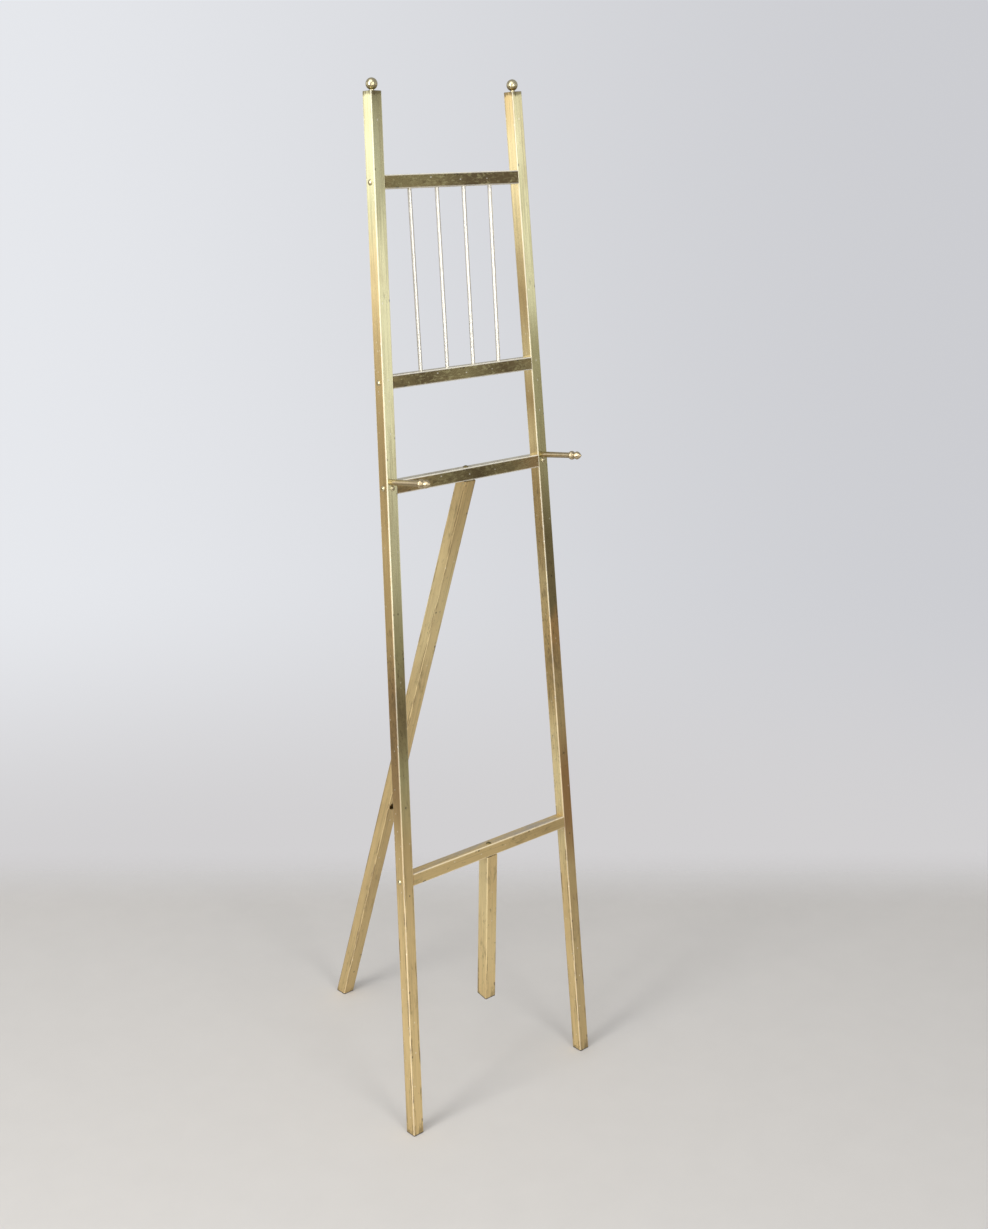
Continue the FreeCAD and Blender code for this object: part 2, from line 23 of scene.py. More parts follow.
# --- Camera and studio ------------------------------------------------------------------------
CAMERA_PLACE = (-1.648, -2.024, 1.588)
CAMERA_YAW = math.radians(42.07)    # from +Y towards +X
CAMERA_PITCH = math.radians(17.06)  # downwards
CAMERA_LENS_MM = 48.53
CAMERA_SENSOR_MM = 36.0
FORWARDS = Vector((math.sin(CAMERA_YAW), math.cos(CAMERA_YAW), 0.0))
RIGHTWARDS = Vector((math.cos(CAMERA_YAW), -math.sin(CAMERA_YAW), 0.0))
UPWARDS = Vector((0.0, 0.0, 1.0))

BACKDROP_LEFT = (0.80, 0.815, 0.85)    # the backdrop that the camera sees, from its left
BACKDROP_RIGHT = (0.60, 0.605, 0.635)  # to its right
BACKDROP_TURN = 0.7                    # keeps the darker side in front, out of views from behind
BACKDROP_SPAN = (0.31, 1.01)           # the sideways part of the directions between which it turns
BACKDROP_FOOT = (0.645, 0.635, 0.645)  # and low down, above the floor
FOOT_RISE = (-0.42, -0.26)             # between these sines of the elevation
FLOOR_SEEN = (0.70, 0.68, 0.655)       # below that, the lit paper's own tone, to hide its edge
FLOOR_RISE = (-0.33, -0.24)            # where it turns into the backdrop: sine of the elevation
FLOOR_TURN = 0.24                      # plus this share of the forward part of the direction
ROOM_ABOVE = (0.46, 0.465, 0.48)       # what the brass mirrors: the upper room
ROOM_BELOW = (0.27, 0.235, 0.185)      # and the bare floor past the paper
ROOM_RISE = (-0.16, -0.09)             # sines of the elevations where the one turns into the other

PAPER_TONE = (0.66, 0.635, 0.60)
PAPER_MOTTLED = 0.03                   # how much lighter or darker it gets
PAPER_MOTTLE = (14.0, 14.0, 6.0, 0.6)  # as the noises below
PAPER_ROUGH = 0.75
PAPER_CENTRE = (-0.22, -0.25)          # the roll of paper runs under the easel, along the view
PAPER_FAR = 1.12
PAPER_FADE = 0.30
# Two sheets lie on each other, one for the camera and a smaller one for the brass to mirror.
SEEN_SHEET = dict(reach_near=1.5, half_width=1.9, fade=0.8, height=0.0)
MIRRORED_SHEET = dict(reach_near=1.12, half_width=1.30, fade=PAPER_FADE, height=-0.001)

# Panels that only the brass mirrors: place, width, height, radiance and colour.
WHITE = (1.0, 1.0, 1.0)
WARM = (1.0, 0.98, 0.95)
PANELS_AIM = (0.0, -0.05, 1.0)
PANELS = {
    "right_front": ((1.42, -2.06, 1.2), 0.62, 0.85, 0.52, WHITE),
    "right_high": ((2.0, -1.9, 1.72), 0.7, 0.9, 0.66, WHITE),
    "left_back": ((-1.7, 1.8, 1.68), 1.3, 1.2, 0.9, WARM),
    "left_low": ((-1.8, 1.9, 0.53), 1.5, 1.04, 0.36, WARM),
    "camera_side": ((-2.3, -2.7, 0.95), 1.2, 2.0, 2.4, WHITE),
}
# Lamps that light everything: place, aim, width, height and radiance.
LAMPS = {
    "tall_left": ((-4.1, -0.45, 1.9), (0.0, 0.0, 0.8), 1.4, 3.4, 7.6),
    "tall_front": ((-0.8, -4.4, 1.9), (0.0, 0.0, 0.8), 1.4, 3.4, 5.0),
    "overhead": ((-1.6, -0.8, 3.4), (-0.2, -0.2, 0.0), 2.2, 2.2, 2.2),
}

# --- Brass tones, as the reflected colour of the metal ----------------------------------------
POLISHED = (0.88, 0.84, 0.51)
YELLOW = (0.84, 0.70, 0.38)
TAN = (0.74, 0.56, 0.27)
AMBER = (0.55, 0.41, 0.195)
CLAY = (0.63, 0.47, 0.22)
BROWN = (0.37, 0.245, 0.11)
RUSSET = (0.52, 0.325, 0.135)
CHESTNUT = (0.39, 0.225, 0.09)
SAGE = (0.70, 0.67, 0.40)
MOSS = (0.47, 0.43, 0.22)
OLIVE = (0.25, 0.205, 0.095)
UMBER = (0.12, 0.088, 0.042)
SOOT = (0.045, 0.034, 0.022)
PALE = (0.98, 0.93, 0.78)
FROSTED = (0.90, 0.83, 0.62)
# Tone of the bright corner line: partly wear, partly a painted highlight.
WORN_AND_HIGHLIGHT = (1.0, 0.97, 0.87)
STROKE = (0.21, 0.135, 0.06)
CREAM = (0.61, 0.54, 0.35)
ROSE = (0.53, 0.435, 0.28)
DUST = (0.50, 0.47, 0.42)
ROD = (0.70, 0.675, 0.61)
PLASTIC = (0.035, 0.032, 0.028)
PLASTIC_DUST = (0.16, 0.14, 0.115)

# --- Patterns ---------------------------------------------------------------------------------
# Noises: waves per metre across the piece and along it, then detail, roughness and bend.
DRIFT = (30.0, 9.0, 3.0)
CLOUDS = (26.0, 8.0, 5.0, 0.6, 0.4)
STREAKS = (420.0, 6.0, 4.0, 0.6)
HAIRS = (2200.0, 24.0, 2.0, 0.5)
STAINS = (190.0, 95.0, 6.0, 0.7, 0.2)
PATCHES = (60.0, 22.0, 5.0, 0.65, 0.2)
MARKS = (200.0, 85.0, 5.0, 0.7, 1.2)
STROKES = (400.0, 17.0, 5.0, 0.7, 0.5)
GAPS = (6.0, 20.0, 4.0, 0.6)
TURNED_PATCHES = (130.0, 130.0, 5.0, 0.6, 0.5)
TURNED_GRAIN = (900.0, 900.0, 3.0)
PLASTIC_PATCHES = (160.0, 160.0, 6.0, 0.7)
PLASTIC_GRAIN = (1400.0, 1400.0, 3.0)
# Spots: cells per metre across and along, then their radius in cells and the share that has one.
PITS = (130.0, 90.0, 0.24, 0.10)
FLECKS = (210.0, 120.0, 0.26, 0.06)
TURNED_PITS = (380.0, 380.0, 0.28, 0.14)
SPOT_CORE = 0.45  # the part of a spot's radius where it is full


# --- Shader helpers ---------------------------------------------------------------------------
class Shader:
    """A material's node tree, with the few operations that the finishes below are made of."""

    def __init__(self, name):
        self.material = bpy.data.materials.new(name)
        self.material.use_nodes = True
        self.tree = self.material.node_tree
        self.tree.nodes.clear()
        self.surface = self.node("ShaderNodeBsdfPrincipled")
        output = self.node("ShaderNodeOutputMaterial")
        self.tree.links.new(self.surface.outputs["BSDF"], output.inputs["Surface"])

    def node(self, kind, **inputs):
        made = self.tree.nodes.new(kind)
        for name, value in inputs.items():
            self.plug(value, made.inputs[name.replace("_", " ")])
        return made

    def plug(self, value, socket):
        if isinstance(value, bpy.types.NodeSocket):
            self.tree.links.new(value, socket)
        elif isinstance(value, tuple) and len(value) == 3 and socket.type == "RGBA":
            socket.default_value = (*value, 1.0)
        else:
            socket.default_value = value

    def set(self, name, value):
        self.plug(value, self.surface.inputs[name])

    def math(self, operation, a, b=0.0, c=0.0, clamp=False):
        made = self.tree.nodes.new("ShaderNodeMath")
        made.operation = operation
        made.use_clamp = clamp
        for socket, value in zip(made.inputs, (a, b, c)):
            self.plug(value, socket)
        return made.outputs[0]

    def times(self, *factors):
        """The product of all the factors."""
        product = factors[0]
        for factor in factors[1:]:
            product = self.math("MULTIPLY", product, factor)
        return product

    def vector(self, operation, a, b=(0, 0, 0)):
        made = self.tree.nodes.new("ShaderNodeVectorMath")
        made.operation = operation
        self.plug(a, made.inputs[0])
        self.plug(b, made.inputs[1])
        return made.outputs[0]

    def object_place(self):
        """The object's coordinates, which move with it; a CAD piece's at rest are the frame's."""
        return self.node("ShaderNodeTexCoord").outputs["Object"]

    def member_place(self, to_own):
        """A member's own coordinates: x across, y in depth, z along."""
        mapping = self.node("ShaderNodeMapping", Vector=self.object_place())
        mapping.inputs["Rotation"].default_value = to_own.to_3x3().to_euler("XYZ")
        mapping.inputs["Location"].default_value = to_own.to_translation()
        return mapping.outputs["Vector"]

    def split(self, vector):
        return self.node("ShaderNodeSeparateXYZ", Vector=vector).outputs

    def noise(self, vector, across, along, detail, rough=0.55, bend=0.0):
        """Noise with so many waves per metre across the piece and along it."""
        scaled = self.vector("MULTIPLY", vector, (across, across, along))
        made = self.node("ShaderNodeTexNoise", Vector=scaled, Scale=1.0, Detail=detail)
        made.inputs["Roughness"].default_value = rough
        made.inputs["Distortion"].default_value = bend
        return made.outputs["Fac"]

    def ramp(self, value, low, high):
        """Smoothly from 0 at low to 1 at high; low may be above high."""
        made = self.tree.nodes.new("ShaderNodeMapRange")
        made.interpolation_type = "SMOOTHSTEP"
        numbers = (value, low, high, 0.0, 1.0)
        if low > high:
            numbers = (value, high, low, 1.0, 0.0)
        for socket, number in zip(made.inputs, numbers):
            self.plug(number, socket)
        return made.outputs["Result"]

    def stops(self, value, stops):
        """A colour that runs through the stops, pairs of a place from 0 to 1 and a tone or grey."""
        made = self.node("ShaderNodeValToRGB", Fac=value)
        elements = made.color_ramp.elements
        elements.remove(elements[1])
        elements[0].position = stops[0][0]
        for where, _ in stops[1:]:
            elements.new(where)
        for element, (_, tone) in zip(elements, stops):
            if not isinstance(tone, tuple):
                tone = (tone, tone, tone)
            element.color = (*tone, 1.0)
        return made.outputs["Color"]

    def mix(self, share, a, b):
        """The colour a where share is 0 and b where it is 1."""
        made = self.tree.nodes.new("ShaderNodeMix")
        made.data_type = "RGBA"
        self.plug(share, made.inputs[0])
        self.plug(a, made.inputs[6])
        self.plug(b, made.inputs[7])
        return made.outputs[2]

    def blend(self, share, a, b):
        """The number a where share is 0 and b where it is 1."""
        made = self.tree.nodes.new("ShaderNodeMix")
        self.plug(share, made.inputs[0])
        self.plug(a, made.inputs[2])
        self.plug(b, made.inputs[3])
        return made.outputs[0]

    def spots(self, vector, across, along, radius, share):
        """Small spots in a share of a Voronoi pattern's cells."""
        scaled = self.vector("MULTIPLY", vector, (across, across, along))
        cells = self.node("ShaderNodeTexVoronoi", Vector=scaled, Scale=1.0)
        chosen = self.math("LESS_THAN", self.split(cells.outputs["Color"])[0], share)
        near = self.ramp(cells.outputs["Distance"], radius, radius * SPOT_CORE)
        return self.math("MULTIPLY", near, chosen)

    def coat(self, colour, tone, pattern, low, high, strength):
        """The tone over the colour, as much as strength where the pattern is past high."""
        return self.mix(self.times(self.ramp(pattern, low, high), strength), colour, tone)

    def bump(self, height, strength, distance):
        made = self.node("ShaderNodeBump", Height=height, Strength=strength, Distance=distance)
        self.set("Normal", made.outputs["Normal"])


# --- Where each piece is ----------------------------------------------------------------------
def long_axis(points):
    """The direction in which the points lie furthest apart, upwards or to the right."""
    along = np.linalg.svd(points - points.mean(0), full_matrices=False)[2][0]
    return along * np.sign(along[np.argmax(np.abs(along))])


def corners(node):
    """The places of all the vertices of a CAD piece."""
    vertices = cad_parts[node].data.vertices
    return np.array([v.co for v in vertices], float).reshape(-1, 3)


class Member:
    """A straight tube's own frame: z along it from its lower or left end, y backwards, x across."""

    def __init__(self, node):
        points = corners(node)
        along = long_axis(points)
        lying = abs(along[0]) > abs(along[2])
        leg = long_axis(corners("left_leg")) if lying else along
        depth = np.cross(leg, (1.0, 0.0, 0.0))
        depth /= np.linalg.norm(depth)
        across = np.cross(depth, along)
        turn = np.array([across, depth, along])
        reach = points @ turn.T
        low, high = reach.min(0), reach.max(0)
        start = np.array([(low[0] + high[0]) / 2, (low[1] + high[1]) / 2, low[2]])
        self.to_own = Matrix.Translation(-Vector(start)) @ Matrix(turn.tolist()).to_4x4()
        self.length = float(high[2] - low[2])
        self.half = float(high[1] - low[1]) / 2


# --- Finishes ---------------------------------------------------------------------------------
ROUNDED = 0.002      # the radius of a tube's corner
CORNER = 0.0021      # how far the bright corner line, partly wear and partly a painted highlight, reaches from it
SCRAPED = 0.0065     # the brown strokes beside it
CALM = 0.0035        # and the smooth metal that the grain leaves there
CORNER_FULL = 0.0004  # how close to the corner each of them is full
FRONT_EDGE = (0.0012, 0.0004)  # how far behind the front face the sides' tone turns into the front's
LEG_SCRAPED_TO = 0.42  # the share of a leg's height where its strokes end
SCRAPES_FADE = 0.22    # and the share over which they do

UNEVEN = 0.05         # how far a tone drifts along the tube, as a share of its length
SHINY_ROUGH = 0.20
MATT_ROUGH = 0.44
UNEVEN_ROUGH = 0.22   # how much streaks, stains and patches change the roughness
MATT_METAL = 0.72     # how metallic the matt parts are
MATT_WEAR_AND_HIGHLIGHT = 0.22      # and how much of the corner line, wear and painted highlight, shows on them
CORNER_ROUGH = 0.5    # the rounded corners themselves are satin
CORNER_METAL = 0.15
GRAIN_DEPTH = 0.0002
GRAIN_STRENGTH = 0.3
PIT_DEPTH = 1.6       # in grain depths
TURNED_STRENGTH = 0.2


class Tube:
    """One tube's shader with its own coordinates and the noises that several layers share."""

    def __init__(self, name, node):
        member = Member(node)
        self.half = member.half
        self.shader = shader = Shader(name)
        self.own = shader.member_place(member.to_own)
        self.across, self.depth, along = shader.split(self.own)
        self.share = shader.math("DIVIDE", along, member.length)
        drift = shader.math("SUBTRACT", self.noise(DRIFT), 0.5)
        self.uneven = shader.math("MULTIPLY_ADD", drift, UNEVEN, self.share)
        self.clouds = self.noise(CLOUDS)
        self.streaks = self.noise(STREAKS)
        self.pits = shader.spots(self.own, *PITS)

    def noise(self, pattern):
        return self.shader.noise(self.own, *pattern)

    def near_corner(self, reach, full=CORNER_FULL):
        """1 within full of the tube's corners, 0 further than reach from them."""
        shader = self.shader
        near = [shader.ramp(shader.math("ABSOLUTE", place), self.half - reach, self.half - full)
                for place in (self.across, self.depth)]
        return shader.times(*near)


def tube_tones(tube, front, side):
    """The tones along the front face and along the others, under clouds and fine streaks. On the
    legs, the rear leg and the stay they are partly patina and partly painted reflection.
    """
    shader = tube.shader
    first, last = FRONT_EDGE
    on_front = shader.ramp(tube.depth, first - tube.half, last - tube.half)
    colour = shader.mix(on_front, shader.stops(tube.uneven, side), shader.stops(tube.uneven, front))
    colour = shader.coat(colour, BROWN, tube.clouds, low=0.42, high=0.68, strength=0.28)
    return shader.coat(colour, OLIVE, tube.streaks, low=0.48, high=0.70, strength=0.30)


def tube_stains(tube, grime):
    """How stained it is: small stains and larger patches, more of both where there is grime."""
    shader = tube.shader
    dirt = shader.stops(tube.share, grime)
    small = shader.math("MULTIPLY_ADD", dirt, 0.30, tube.noise(STAINS))
    large = shader.math("MULTIPLY_ADD", dirt, 0.22, tube.noise(PATCHES))
    small = shader.times(shader.ramp(small, low=0.66, high=0.86), 0.75)
    large = shader.times(shader.ramp(large, low=0.62, high=0.80), 0.55)
    return shader.math("MAXIMUM", small, large)


def tube_wear_and_highlight(tube, colour, matt, scrapes, scraped_to):
    """Brown strokes beside the corners and, over them, the bright line along the corners: partly
    wear, partly a painted highlight.
    """
    shader = tube.shader
    if scrapes:
        beside = shader.ramp(tube.near_corner(SCRAPED), low=0.0, high=0.5)
        strokes = shader.ramp(tube.noise(STROKES), low=0.515, high=0.56)
        low_down = shader.ramp(tube.share, scraped_to, scraped_to - SCRAPES_FADE)
        colour = shader.mix(shader.times(beside, strokes, low_down, scrapes), colour, STROKE)
    # The bright line along the corners is partly wear and partly a painted highlight where the
    # rounded corners catch the light.
    unbroken = shader.ramp(tube.noise(GAPS), low=0.74, high=0.58)
    wear_and_highlight = shader.times(tube.near_corner(CORNER), unbroken, shader.blend(matt, 1.0, MATT_WEAR_AND_HIGHLIGHT))
    return shader.mix(wear_and_highlight, colour, WORN_AND_HIGHLIGHT)


def tube_dust(tube, colour, dusty):
    """Dust on what faces up."""
    shader = tube.shader
    up = shader.split(shader.node("ShaderNodeNewGeometry").outputs["Normal"])[2]
    level = shader.ramp(up, low=0.6, high=0.95)
    patchy = shader.ramp(tube.clouds, low=0.38, high=0.62)
    return shader.mix(shader.times(level, patchy, dusty), colour, DUST)


def tube_gloss(tube, matt, stained):
    """Metal that is duller where it is matt, streaked or stained, and satin round its corners."""
    shader = tube.shader
    rough = shader.blend(matt, SHINY_ROUGH, MATT_ROUGH)
    streaked = shader.math("SUBTRACT", tube.streaks, 0.5)
    rough = shader.math("MULTIPLY_ADD", streaked, UNEVEN_ROUGH, rough)
    rough = shader.math("MULTIPLY_ADD", stained, UNEVEN_ROUGH, rough, clamp=True)
    metal = shader.blend(matt, 1.0, MATT_METAL)
    rounded = tube.near_corner(1.2 * ROUNDED, 0.95 * ROUNDED)
    shader.set("Roughness", shader.blend(rounded, rough, CORNER_ROUGH))
    shader.set("Metallic", shader.blend(rounded, metal, CORNER_METAL))


def tube_grain(tube):
    """Fine lines along the tube and pits, but none close to its corners."""
    shader = tube.shader
    relief = shader.math("MULTIPLY_ADD", tube.noise(HAIRS), 0.5, tube.streaks)
    relief = shader.math("SUBTRACT", relief, 0.75)
    relief = shader.math("MULTIPLY_ADD", tube.pits, -PIT_DEPTH, relief)
    away = shader.ramp(tube.near_corner(CALM), low=0.25, high=0.0)
    shader.bump(shader.times(relief, away), GRAIN_STRENGTH, GRAIN_DEPTH)


def tube_brass(name, node, front, side, grime, dull, bloom=0.0, scrapes=0.0,
               scraped_to=LEG_SCRAPED_TO, dusty=0.0):
    """Aged brass tube. The tones of its front and of its other faces, its grime and its dullness
    are stops along its length; on the legs, the rear leg and the stay the tones are partly patina
    and partly painted reflection. Stains, pits, flecks and a bright corner line, partly wear and
    partly a painted highlight, lie over them. Bloom is the share of pale stains, scrapes of brown
    strokes beside the corners, up to scraped_to, and dusty of dust on what faces up."""
    tube = Tube(name, node)
    shader = tube.shader
    colour = tube_tones(tube, front, side)
    if bloom:
        colour = shader.coat(colour, MOSS, tube.noise(MARKS), low=0.51, high=0.61, strength=bloom)
    stained = tube_stains(tube, grime)
    colour = shader.mix(stained, colour, UMBER)
    colour = shader.mix(shader.times(tube.pits, 0.7), colour, SOOT)
    colour = shader.mix(shader.times(shader.spots(tube.own, *FLECKS), 0.6), colour, PALE)
    matt = shader.stops(tube.uneven, dull)
    colour = tube_wear_and_highlight(tube, colour, matt, scrapes, scraped_to)
    if dusty:
        colour = tube_dust(tube, colour, dusty)
    shader.set("Base Color", colour)
    tube_gloss(tube, matt, stained)
    tube_grain(tube)
    return shader.material


def turned_brass(name, base, rough, stain, metal=1.0):
    """Small turned pieces: polished brass with tarnish in patches and fine pits. Rough is its
    roughness where it is cleanest."""
    shader = Shader(name)
    where = shader.object_place()
    patches = shader.noise(where, *TURNED_PATCHES)
    colour = shader.coat(base, OLIVE, patches, low=0.48, high=0.72, strength=stain)
    pits = shader.spots(where, *TURNED_PITS)
    colour = shader.mix(shader.times(pits, stain), colour, SOOT)
    shader.set("Base Color", colour)
    shader.set("Metallic", metal)
    rough = shader.math("MULTIPLY_ADD", patches, UNEVEN_ROUGH, rough)
    shader.set("Roughness", rough)
    shader.bump(shader.noise(where, *TURNED_GRAIN), TURNED_STRENGTH, GRAIN_DEPTH / 2)
    return shader.material


def dark_plastic(name):
    """Dark moulded plastic with dust in patches."""
    shader = Shader(name)
    where = shader.object_place()
    dust = shader.noise(where, *PLASTIC_PATCHES)
    dusty = shader.ramp(dust, low=0.4, high=0.75)
    shader.set("Base Color", shader.mix(dusty, PLASTIC, PLASTIC_DUST))
    shader.set("Roughness", shader.math("MULTIPLY_ADD", dust, 0.3, 0.5))
    shader.bump(shader.noise(where, *PLASTIC_GRAIN), GRAIN_STRENGTH, GRAIN_DEPTH)
    return shader.material


def paint(node, material):
    """Give a CAD piece this material alone."""
    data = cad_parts[node].data
    data.materials.clear()
    data.materials.append(material)


# --- Dress the CAD pieces ---------------------------------------------------------------------
# Stops run from a leg's foot, or a bar's left end, at 0 to its other end at 1. Dullness and grime
# run from none at 0 to all at 1.
LEG_DULL = ((0.0, 1.0), (0.36, 0.9), (0.50, 0.55), (0.62, 0.15), (1.0, 0.0))
BAR_DULL = ((0.0, 0.25), (1.0, 0.25))
ALL_TAN = ((0.0, TAN), (1.0, TAN))
FROSTED_BAR = ((0.0, FROSTED), (1.0, FROSTED))
LEG_TOP = ((0.9965, 0.0), (0.9985, 1.0))  # the grimy line under the cap
# On the legs, the rear leg and the stay the front and side tones are partly patina and partly
# painted reflection: the lighter and darker bands along each face, and the difference between front
# and sides, follow what each face mirrors from the camera's view.
TUBES = {
    "left_leg": dict(
        front=((0.0, TAN), (0.24, TAN), (0.30, CLAY), (0.37, MOSS), (0.43, OLIVE), (0.50, MOSS),
               (0.58, POLISHED), (0.86, POLISHED), (0.90, SAGE), (0.955, SAGE), (0.985, MOSS),
               (1.0, OLIVE)),
        side=((0.0, CLAY), (0.06, TAN), (0.27, TAN), (0.36, BROWN), (0.46, BROWN), (0.52, CLAY),
              (0.6, TAN), (0.68, AMBER), (0.73, CLAY), (0.80, TAN), (0.86, YELLOW),
              (0.905, SAGE), (0.96, POLISHED), (1.0, POLISHED)),
        grime=((0.0, 0.8), (0.012, 0.2), (0.3, 0.1), (0.40, 0.6), (0.48, 0.6), (0.56, 0.1),
               *LEG_TOP),
        dull=LEG_DULL, scrapes=0.8),
    "right_leg": dict(
        front=((0.0, AMBER), (0.22, AMBER), (0.27, CHESTNUT), (0.33, CHESTNUT), (0.38, AMBER),
               (0.43, AMBER), (0.46, RUSSET), (0.485, RUSSET), (0.50, OLIVE), (0.58, OLIVE),
               (0.64, MOSS), (0.76, MOSS), (0.81, SAGE), (0.92, SAGE), (0.96, POLISHED),
               (1.0, SAGE)),
        side=((0.0, TAN), (0.20, TAN), (0.25, YELLOW), (0.37, YELLOW), (0.41, CLAY),
              (0.44, AMBER), (0.48, TAN), (0.53, YELLOW), (0.58, AMBER), (0.63, AMBER),
              (0.67, YELLOW), (0.71, AMBER), (0.76, YELLOW), (0.81, AMBER), (0.86, YELLOW),
              (0.96, YELLOW), (1.0, TAN)),
        grime=((0.0, 0.8), (0.012, 0.2), (0.2, 0.2), (0.4, 0.5), (0.56, 0.6), (0.66, 0.1),
               *LEG_TOP),
        dull=LEG_DULL, scrapes=0.8),
    "top_bar": dict(
        front=((0.0, OLIVE), (0.3, OLIVE), (0.6, UMBER), (1.0, UMBER)), side=FROSTED_BAR,
        grime=((0.0, 0.4), (1.0, 0.7)), dull=BAR_DULL, bloom=0.5),
    "middle_bar": dict(
        front=((0.0, OLIVE), (0.2, UMBER), (0.5, OLIVE), (0.8, UMBER), (1.0, OLIVE)),
        side=FROSTED_BAR,
        grime=((0.0, 0.7), (0.4, 0.4), (1.0, 0.5)), dull=BAR_DULL, bloom=0.5),
    "peg_bar": dict(
        front=((0.0, BROWN), (0.3, OLIVE), (0.55, UMBER), (0.8, OLIVE), (1.0, BROWN)),
        side=FROSTED_BAR,
        grime=((0.0, 0.5), (0.5, 0.7), (1.0, 0.3)), dull=BAR_DULL, bloom=0.4),
    "lower_bar": dict(
        front=((0.0, TAN), (0.5, TAN), (1.0, CLAY)), side=ALL_TAN, grime=((0.0, 0.3), (1.0, 0.3)),
        dull=((0.0, 0.8), (1.0, 0.8)), dusty=0.75),
    "rear_leg": dict(
        front=((0.0, CLAY), (0.35, CLAY), (0.5, AMBER), (0.62, AMBER), (0.68, CLAY), (1.0, CLAY)),
        side=((0.0, CLAY), (0.5, TAN), (0.8, YELLOW), (1.0, TAN)),
        grime=((0.0, 0.6), (0.015, 0.3), (0.1, 0.2), (1.0, 0.3)), dull=((0.0, 1.0), (1.0, 0.9)),
        scrapes=0.65, scraped_to=1.25),
    "stay": dict(
        front=((0.0, CLAY), (1.0, TAN)), side=((0.0, TAN), (1.0, YELLOW)),
        grime=((0.0, 0.6), (0.04, 0.3), (1.0, 0.3)),
        dull=((0.0, 1.0), (1.0, 1.0)), scrapes=0.8),
}
for node, looks in TUBES.items():
    paint(node, tube_brass(node, node, **looks))
for side in ("left", "right"):
    paint(f"{side}_leg_cap", bpy.data.materials[f"{side}_leg"])

peg_brass = turned_brass("peg_brass", ROSE, rough=0.22, stain=0.35)
turned = turned_brass("turned_brass", CREAM, rough=0.18, stain=0.4)
fastener = turned_brass("fastener_brass", CREAM, rough=0.24, stain=0.3)
bright_rod = turned_brass("rod_brass", ROD, rough=0.30, stain=0.0, metal=0.95)
dark_bolt = turned_brass("hinge_brass", OLIVE, rough=0.22, stain=0.55)
plastic = dark_plastic("dark_plastic")
done = {*TUBES, "left_leg_cap", "right_leg_cap"}
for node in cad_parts:
    if node in done:
        continue
    if node.endswith("foot") or node == "stay_end_plug":
        paint(node, plastic)
    elif node.startswith("grille_rod"):
        paint(node, bright_rod)
    elif node.endswith("screws"):
        paint(node, fastener)
    elif node.endswith("bolt"):
        paint(node, dark_bolt)
    elif "peg" in node:
        paint(node, peg_brass)
    else:
        paint(node, turned)


# --- Stage ------------------------------------------------------------------------------------
def make_floor(name, reach_near, half_width, fade, height):
    """A sheet of pale paper turned with the view, its far edge fixed, fading out at its edges."""
    length = PAPER_FAR + reach_near
    bpy.ops.mesh.primitive_grid_add(x_subdivisions=2, y_subdivisions=2, size=1.0)
    floor = bpy.context.object
    floor.name = name
    floor.scale = (2 * half_width, length, 1.0)
    floor.location = Vector((*PAPER_CENTRE, height)) + FORWARDS * (PAPER_FAR - length / 2)
    floor.rotation_euler = (0.0, 0.0, -CAMERA_YAW)
    shader = Shader(name)
    # x and y run from -1/2 to 1/2 over the sheet, so these are the metres from each of its edges.
    x, y, _ = shader.split(shader.object_place())
    left = shader.ramp(shader.math("MULTIPLY_ADD", x, 2 * half_width, half_width), 0.0, fade)
    right = shader.ramp(shader.math("MULTIPLY_ADD", x, -2 * half_width, half_width), 0.0, fade)
    near = shader.ramp(shader.math("MULTIPLY_ADD", y, length, length / 2), 0.0, fade)
    far = shader.ramp(shader.math("MULTIPLY_ADD", y, -length, length / 2), 0.0, PAPER_FADE)
    place = shader.node("ShaderNodeNewGeometry").outputs["Position"]
    tones = [tuple(part * share for part in PAPER_TONE)
             for share in (1.0 - PAPER_MOTTLED, 1.0 + PAPER_MOTTLED)]
    shader.set("Base Color", shader.mix(shader.noise(place, *PAPER_MOTTLE), *tones))
    shader.set("Roughness", PAPER_ROUGH)
    shader.set("Alpha", shader.times(left, right, near, far))
    floor.data.materials.append(shader.material)
    return floor


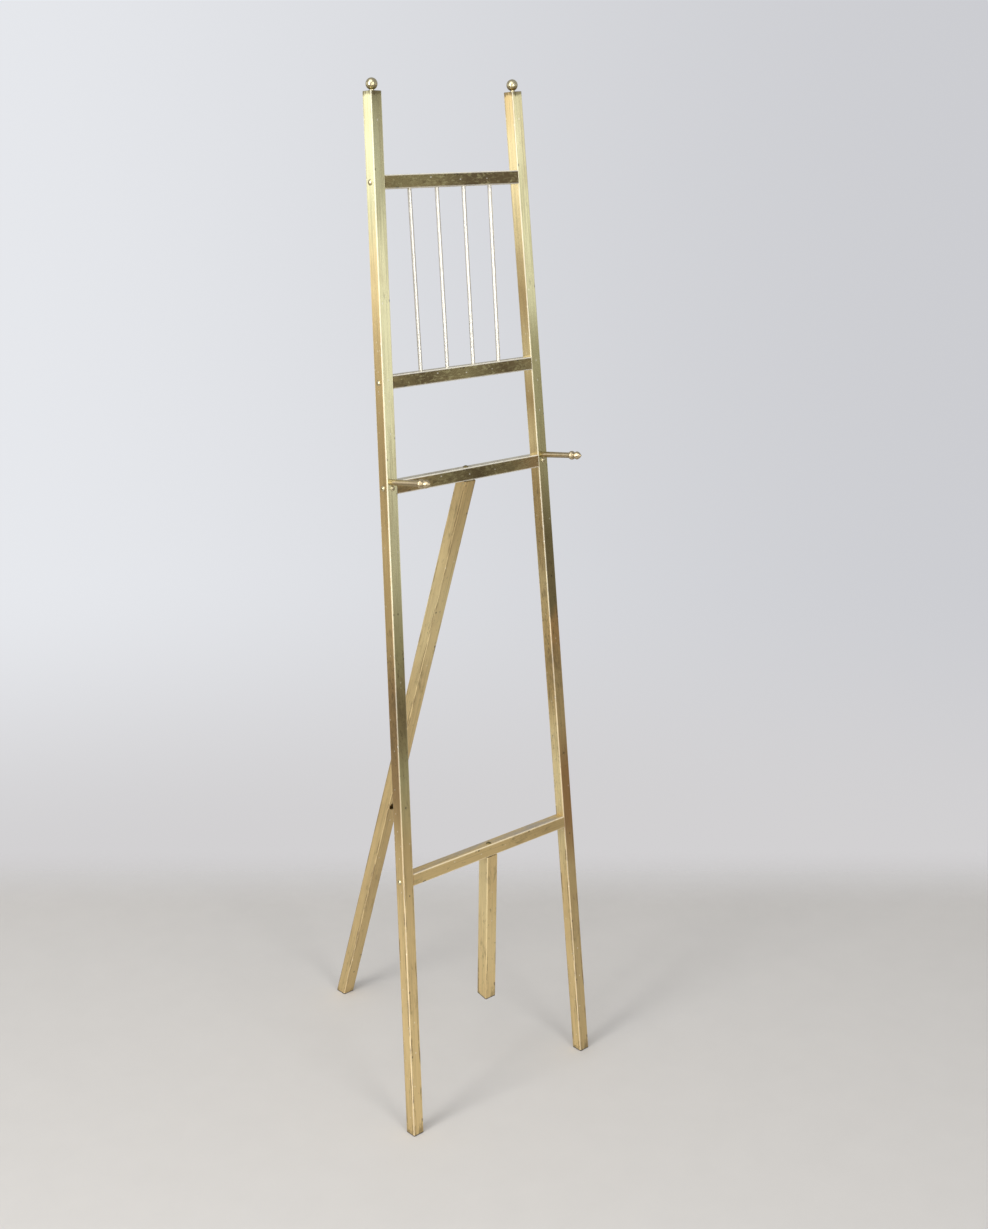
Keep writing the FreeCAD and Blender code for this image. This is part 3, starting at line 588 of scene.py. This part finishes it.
def make_world():
    """The room that the brass mirrors and, for the camera alone, the backdrop."""
    world = bpy.data.worlds.new("studio")
    bpy.context.scene.world = world
    world.use_nodes = True
    tree = world.node_tree
    tree.nodes.clear()
    where = tree.nodes.new("ShaderNodeTexCoord").outputs["Generated"]

    def along(direction):
        """How far each direction of view goes along this one."""
        made = tree.nodes.new("ShaderNodeVectorMath")
        made.operation = "DOT_PRODUCT"
        tree.links.new(where, made.inputs[0])
        made.inputs[1].default_value = direction
        return made.outputs["Value"]

    def gradient(value, span, low, high):
        """A background that turns from one into the other; each is a colour or a background."""
        rise = tree.nodes.new("ShaderNodeMapRange")
        rise.interpolation_type = "SMOOTHSTEP"
        tree.links.new(value, rise.inputs[0])
        rise.inputs[1].default_value, rise.inputs[2].default_value = span
        mix = tree.nodes.new("ShaderNodeMixShader")
        tree.links.new(rise.outputs[0], mix.inputs[0])
        for socket, end in zip(mix.inputs[1:], (low, high)):
            if isinstance(end, tuple):
                plain = tree.nodes.new("ShaderNodeBackground")
                plain.inputs["Color"].default_value = (*end, 1.0)
                end = plain.outputs[0]
            tree.links.new(end, socket)
        return mix.outputs[0]

    height = along(UPWARDS)
    room = gradient(height, ROOM_RISE, ROOM_BELOW, ROOM_ABOVE)
    sideways = along(RIGHTWARDS + BACKDROP_TURN * FORWARDS)
    backdrop = gradient(sideways, BACKDROP_SPAN, BACKDROP_LEFT, BACKDROP_RIGHT)
    backdrop = gradient(height, FOOT_RISE, BACKDROP_FOOT, backdrop)
    backdrop = gradient(along(UPWARDS + FLOOR_TURN * FORWARDS), FLOOR_RISE, FLOOR_SEEN, backdrop)
    path = tree.nodes.new("ShaderNodeLightPath")
    choose = tree.nodes.new("ShaderNodeMixShader")
    output = tree.nodes.new("ShaderNodeOutputWorld")
    tree.links.new(path.outputs["Is Camera Ray"], choose.inputs[0])
    tree.links.new(room, choose.inputs[1])
    tree.links.new(backdrop, choose.inputs[2])
    tree.links.new(choose.outputs[0], output.inputs["Surface"])


def softbox(name, place, aim, width, height, radiance, colour=WHITE, mirrored_only=False):
    """A rectangular light, or a panel that is only mirrored and lights nothing else."""
    light = bpy.data.lights.new(name, "AREA")
    light.shape = "RECTANGLE"
    light.size, light.size_y = width, height
    light.energy = radiance * math.pi * width * height
    light.color = colour
    made = bpy.data.objects.new(name, light)
    bpy.context.scene.collection.objects.link(made)
    made.location = place
    made.rotation_euler = (Vector(aim) - Vector(place)).to_track_quat("-Z", "Y").to_euler()
    made.visible_camera = False
    made.visible_diffuse = not mirrored_only


def make_camera():
    data = bpy.data.cameras.new("camera")
    data.lens = CAMERA_LENS_MM
    data.sensor_width = CAMERA_SENSOR_MM
    made = bpy.data.objects.new("camera", data)
    bpy.context.scene.collection.objects.link(made)
    made.location = CAMERA_PLACE
    made.rotation_euler = (math.pi / 2 - CAMERA_PITCH, 0.0, -CAMERA_YAW)
    bpy.context.scene.camera = made


seen = make_floor("floor_seen", **SEEN_SHEET)
seen.visible_glossy = False
seen.visible_diffuse = False
seen.visible_shadow = False
mirrored = make_floor("floor_mirrored", **MIRRORED_SHEET)
mirrored.visible_camera = False
make_world()
for name, (place, width, height, radiance, colour) in PANELS.items():
    softbox(name, place, PANELS_AIM, width, height, radiance, colour, mirrored_only=True)
for name, lamp in LAMPS.items():
    softbox(name, *lamp)
make_camera()
bpy.context.scene.view_settings.view_transform = "Standard"
